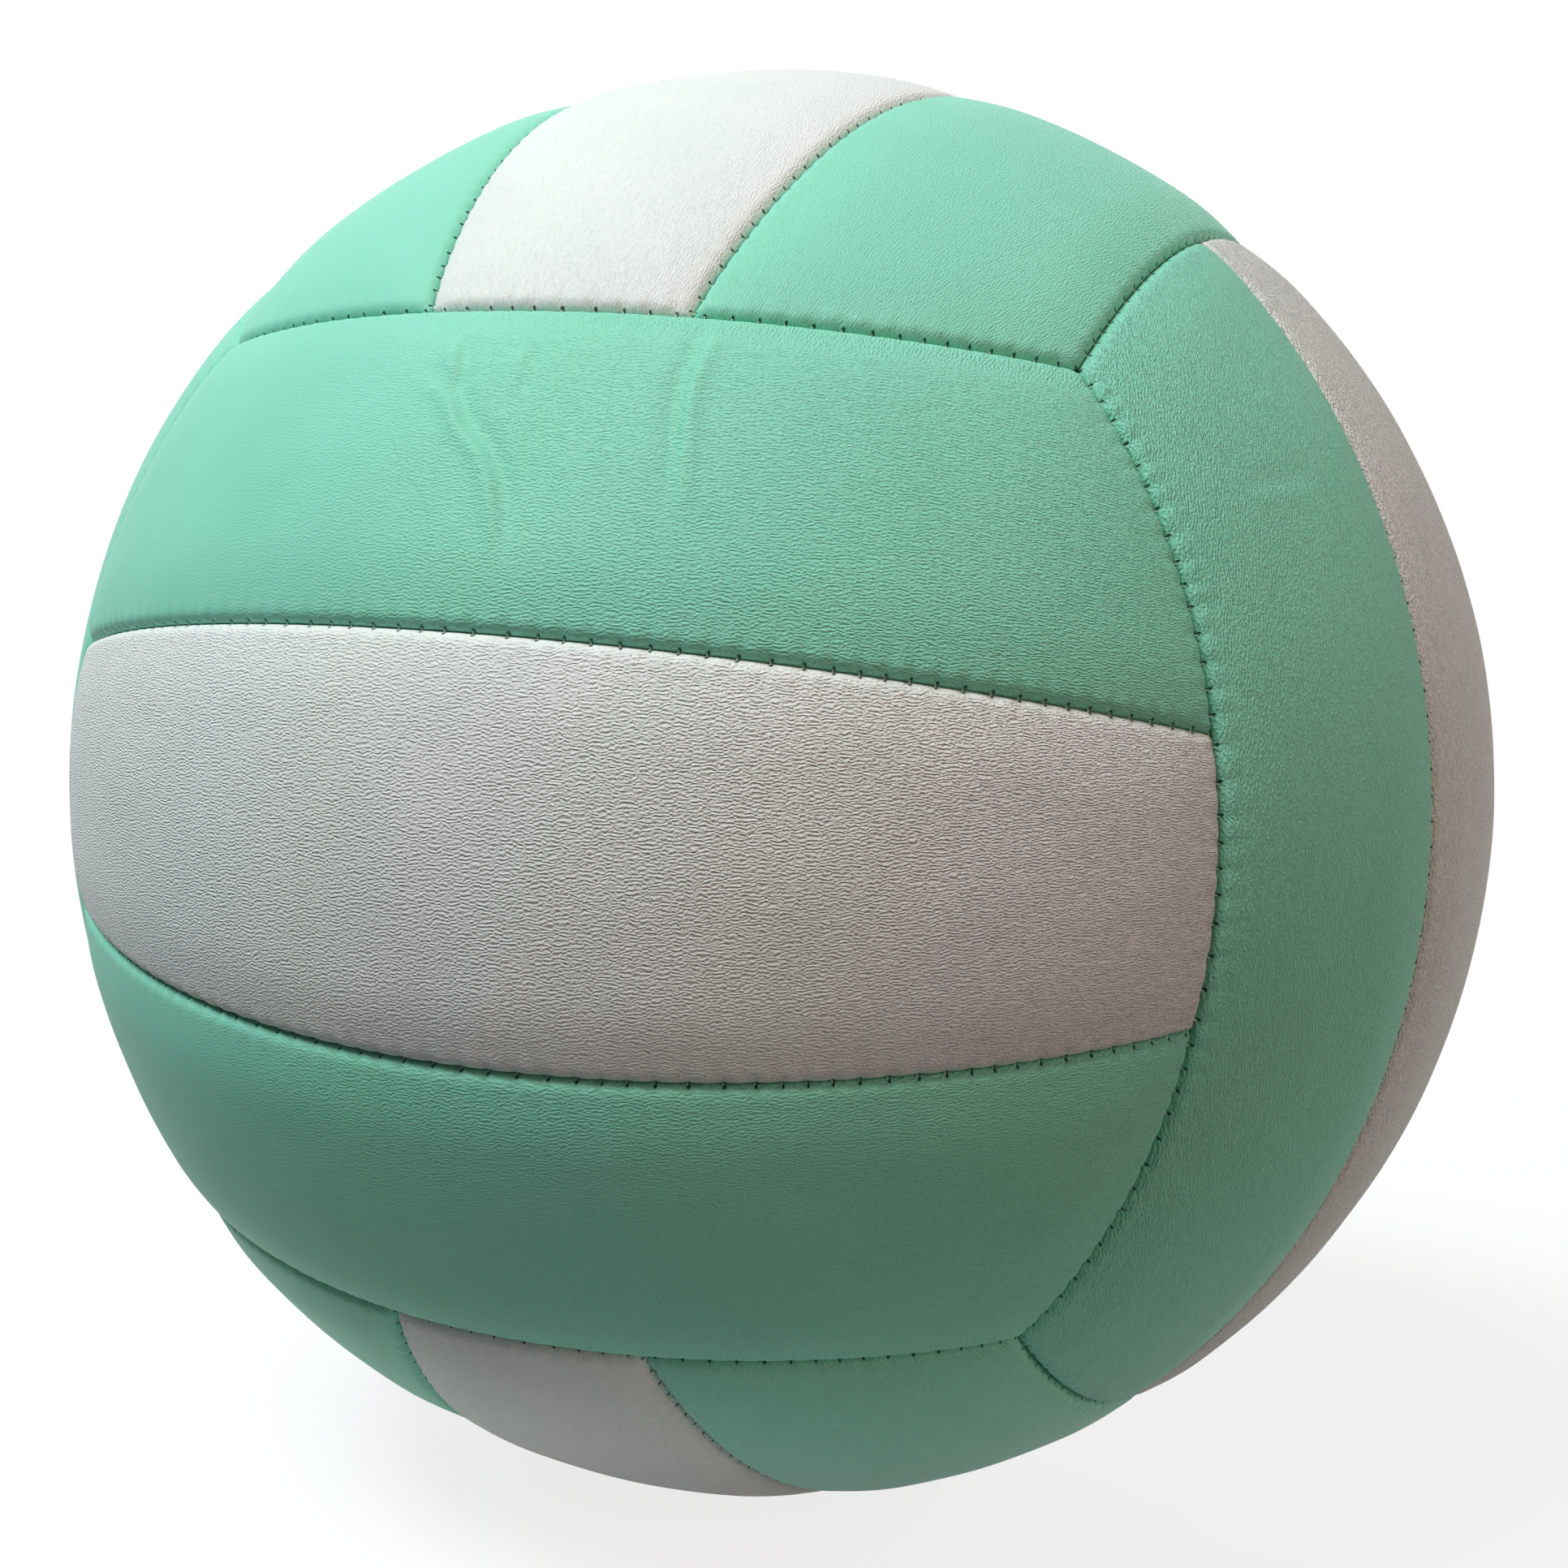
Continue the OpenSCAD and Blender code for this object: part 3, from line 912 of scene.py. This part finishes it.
def tube(points, faces, path, outward, radius, sides=6):
    """A round strand with closed ends along a path of points."""
    path = np.asarray(path)
    ahead = unit(np.gradient(path, axis=0))
    first = len(points)
    for p, t, o in zip(path, ahead, np.asarray(outward)):
        beside = unit(np.cross(t, o))
        above = np.cross(beside, t)
        for k in range(sides):
            turn = 2 * math.pi * k / sides
            points.append(p + radius * (math.cos(turn) * above + math.sin(turn) * beside))
    for i in range(len(path) - 1):
        for k in range(sides):
            m = (k + 1) % sides
            low, high = first + i * sides, first + (i + 1) * sides
            faces.append((low + k, low + m, high + m, high + k))
    faces.append([first + k for k in reversed(range(sides))])
    end = first + (len(path) - 1) * sides
    faces.append([end + k for k in range(sides)])


def stitch_places(seam, turn):
    """The turns along the seam at which its stitches cross it."""
    turns = np.linspace(-seam.half_turn, seam.half_turn, 4001)
    ways = seam.point(turns)
    phase = stitch_phase(seam, ways, turn)
    if phase[0] > phase[-1]:
        phase, turns = phase[::-1], turns[::-1]
    low = math.ceil(phase[0] + 0.25)
    high = math.floor(phase[-1] - 0.25)
    return np.interp(np.arange(low, high + 1), phase, turns)


def make_stitches(face):
    turn, _ = FACES[face]
    points, faces = [], []
    for seam in (end_seam(-1), end_seam(1), strip_seam(-1), strip_seam(1)):
        trim = THREAD_TRIM / (BALL_R * math.sin(seam.angle))
        line = np.linspace(-seam.half_turn + trim, seam.half_turn - trim, 121)
        ways = seam.point(line)
        tube(points, faces, ways * THREAD_AT, ways, THREAD_R)
        for place in stitch_places(seam, turn):
            way = seam.point(np.array(place))
            out = unit(seam.axis - way * (way @ seam.axis))
            path, outward = [], []
            for share in (-1, -0.66, -0.33, 0, 0.33, 0.66, 1):
                gap = share * STRAND_REACH
                w = unit(way * BALL_R + out * gap)
                path.append(w * (STRAND_AT + STRAND_RISE * share**2))
                outward.append(w)
            tube(points, faces, path, outward, STRAND_R)
    mesh = bpy.data.meshes.new(f"stitches_{face}")
    mesh.from_pydata((np.array(points) @ turn.T * MM).tolist(), [], faces)
    mesh.validate()
    mesh.shade_smooth()
    piece = bpy.data.objects.new(f"stitches_{face}", mesh)
    bpy.context.scene.collection.objects.link(piece)
    piece.data.materials.append(thread_material())
    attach(piece, BODY)
    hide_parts(f"thread_{face}")


# ---- materials ----


def ridges(n, across, along, wavers):
    """Two sets of wavy ridges that run nearly the same way, and so break each other up."""
    waves = []
    for lean, waver in zip(RIDGE_LEANS, wavers):
        place = n.math("ADD", across, n.math("MULTIPLY", along, lean))
        place = n.math("ADD", n.math("DIVIDE", place, RIDGE_W), n.math("MULTIPLY", waver, WANDER))
        waves.append(n.math("SINE", n.math("MULTIPLY", place, 2 * math.pi)))
    return n.math("ADD", *waves)


def grain_height(n):
    """Leather grain: ridges along the strip, which turn towards a seam between two faces."""
    grain = n.attribute("grain")
    across, along, share = n.parts(grain)
    waver = n.add("ShaderNodeTexNoise", noise_dimensions="2D")
    n.link(n.scaled(grain, (1.0, 0.85, 0.0)), waver.inputs["Vector"])
    waver.inputs["Scale"].default_value = 0.75
    waver.inputs["Detail"].default_value = 2.0
    wavers = n.parts(waver.outputs["Color"])[:2]
    both = n.add("ShaderNodeMix", data_type="FLOAT")
    n.link(n.parts(n.attribute("crease"))[2], both.inputs[0])
    n.link(ridges(n, across, along, wavers), both.inputs[2])
    n.link(ridges(n, along, across, wavers), both.inputs[3])
    pebble = n.math("SUBTRACT", n.noise(grain, 2.6, detail=1.0, flat=True), 0.5)
    ridged = n.math("MULTIPLY", both.outputs[0], 0.22)
    height = n.math("ADD", ridged, n.math("MULTIPLY", pebble, 0.9))
    return n.math("ADD", n.math("MULTIPLY", height, share), 0.5), grain


def crease_lines(n):
    """1 in the sharp line of a crease, 0 elsewhere."""
    gap, strength, _ = n.parts(n.attribute("crease"))
    line = n.ramp(n.math("ABSOLUTE", gap), 0.05, 0.9, 1.0, 0.0)
    return n.math("MULTIPLY", line, n.math("ABSOLUTE", strength))


def holes(n):
    """1 in the needle holes on both sides of a seam, 0 elsewhere."""
    found = []
    for name in ("long_stitch", "end_stitch"):
        phase, gap, _ = n.parts(n.attribute(name))
        off = n.math("SUBTRACT", n.math("FRACT", n.math("ADD", phase, HOLE_SHIFT)), 0.5)
        off = n.math("MULTIPLY", off, STITCH_PITCH)
        out = n.math("SUBTRACT", gap, HOLE_GAP)
        far = n.math("ADD", n.math("MULTIPLY", off, off), n.math("MULTIPLY", out, out))
        found.append(n.ramp(n.math("SQRT", far), 0.1, HOLE_SIZE, 1.0, 0.0))
    return n.math("MAXIMUM", found[0], found[1])


def skin_material(kind, colour, shade):
    material, n = new_material(f"skin_{kind}")
    height, grain = grain_height(n)
    hole = holes(n)
    crease = crease_lines(n)
    patches = n.noise(grain, 0.045, detail=3.0, roughness=0.6, flat=True)
    tone = n.ramp(patches, 0.3, 0.7)
    body = n.mix(tone, colour, tuple(c * s for c, s in zip(colour, (0.955, 0.97, 0.965))))
    # Painted shade: the grain's lows are darkened towards the shade colour.
    pore_shade = n.ramp(height, 0.0, 0.6, 0.12, 0.0)
    body = n.mix(pore_shade, body, shade)
    # Painted shade: deeper in a seam's groove the skin is darkened towards the shade colour.
    depth = n.parts(n.attribute("end_stitch"))[2]
    body = n.mix(n.ramp(depth, 1.4, 3.4, 0.0, 0.6), body, shade)
    # Painted shade in the sharp line of each crease.
    body = n.mix(n.math("MULTIPLY", crease, 0.12), body, shade)
    # Painted shade in the needle holes, over the dent that the bump gives them.
    body = n.mix(n.math("MULTIPLY", hole, 0.96), body, HOLE_SHADE)
    bump = n.add("ShaderNodeBump")
    bump.inputs["Distance"].default_value = MM
    relief = n.math("MULTIPLY", height, GRAIN_DEPTH[kind])
    relief = n.math("SUBTRACT", relief, n.math("MULTIPLY", hole, 0.3))
    relief = n.math("SUBTRACT", relief, n.math("MULTIPLY", crease, CREASE_DEPTH))
    n.link(relief, bump.inputs["Height"])
    skin = n.add("ShaderNodeBsdfPrincipled")
    n.link(body, skin.inputs["Base Color"])
    n.link(n.ramp(height, 0.1, 0.9, 0.54, 0.42), skin.inputs["Roughness"])
    n.link(bump.outputs[0], skin.inputs["Normal"])
    skin.inputs["Specular IOR Level"].default_value = 0.13
    out = n.add("ShaderNodeOutputMaterial")
    n.link(skin.outputs[0], out.inputs["Surface"])
    return material


def thread_material():
    if "thread" in bpy.data.materials:
        return bpy.data.materials["thread"]
    material, n = new_material("thread")
    place = n.add("ShaderNodeTexCoord").outputs["Object"]
    twist = n.noise(place, 2600.0, detail=2.0)
    body = n.mix(n.ramp(twist, 0.35, 0.65), THREAD, tuple(c * 0.72 for c in THREAD))
    bump = n.add("ShaderNodeBump")
    bump.inputs["Distance"].default_value = 0.00005
    n.link(twist, bump.inputs["Height"])
    cord = n.add("ShaderNodeBsdfPrincipled")
    n.link(body, cord.inputs["Base Color"])
    n.link(n.ramp(twist, 0.3, 0.7, 0.5, 0.66), cord.inputs["Roughness"])
    n.link(bump.outputs[0], cord.inputs["Normal"])
    out = n.add("ShaderNodeOutputMaterial")
    n.link(cord.outputs[0], out.inputs["Surface"])
    return material


def plain_stuff(name, colour, darker, scale, rough, bump_depth):
    """Rubber, foam or cloth: two tones in a fine pattern, with its own bump."""
    material, n = new_material(name)
    place = n.add("ShaderNodeTexCoord").outputs["Object"]
    fine = n.noise(place, scale, detail=4.0, roughness=0.6)
    broad = n.noise(place, scale / 14, detail=2.0)
    both = n.math("ADD", n.math("MULTIPLY", fine, 0.6), n.math("MULTIPLY", broad, 0.4))
    bump = n.add("ShaderNodeBump")
    bump.inputs["Distance"].default_value = bump_depth
    n.link(fine, bump.inputs["Height"])
    stuff = n.add("ShaderNodeBsdfPrincipled")
    n.link(n.mix(n.ramp(both, 0.35, 0.65), colour, darker), stuff.inputs["Base Color"])
    n.link(n.ramp(both, 0.3, 0.7, rough - 0.06, rough + 0.08), stuff.inputs["Roughness"])
    n.link(bump.outputs[0], stuff.inputs["Normal"])
    out = n.add("ShaderNodeOutputMaterial")
    n.link(stuff.outputs[0], out.inputs["Surface"])
    return material


def dress(node, material):
    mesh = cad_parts[node].data
    mesh.materials.clear()
    mesh.materials.append(material)


# The nodes that show as the model has them: material, two tones, pattern scale, roughness, bump.
INSIDE = {
    "bladder": (
        "bladder_rubber", (0.022, 0.022, 0.024), (0.03, 0.03, 0.031), 500.0, 0.42, 0.00002
    ),
    "valve_patch": (
        "patch_cloth", (0.62, 0.60, 0.54), (0.50, 0.48, 0.42), 2200.0, 0.9, 0.00008
    ),
    "valve_base": (
        "valve_rubber", (0.05, 0.05, 0.052), (0.034, 0.034, 0.036), 1400.0, 0.55, 0.00003
    ),
    "valve_core": (
        "core_rubber", (0.03, 0.03, 0.032), (0.022, 0.022, 0.024), 1100.0, 0.45, 0.00002
    ),
}


def dress_inside():
    for node, values in INSIDE.items():
        dress(node, plain_stuff(*values))


make_camera()
make_lamps()
make_world()
make_floor()

STUFFS = {
    "foam": plain_stuff(
        "backing_foam", (0.72, 0.68, 0.58), (0.60, 0.56, 0.47), 1500.0, 0.85, 0.0001
    ),
    "mint": skin_material("mint", MINT, MINT_SHADE),
    "white": skin_material("white", WHITE, WHITE_SHADE),
}
for face_name in FACES:
    for panel_side in range(3):
        make_panel(face_name, panel_side, fine=(face_name, panel_side) == ("front", 2))
        make_pad(face_name, panel_side)
    make_stitches(face_name)
dress_inside()

bpy.context.scene.view_settings.view_transform = "Standard"

bpy.context.view_layer.update()
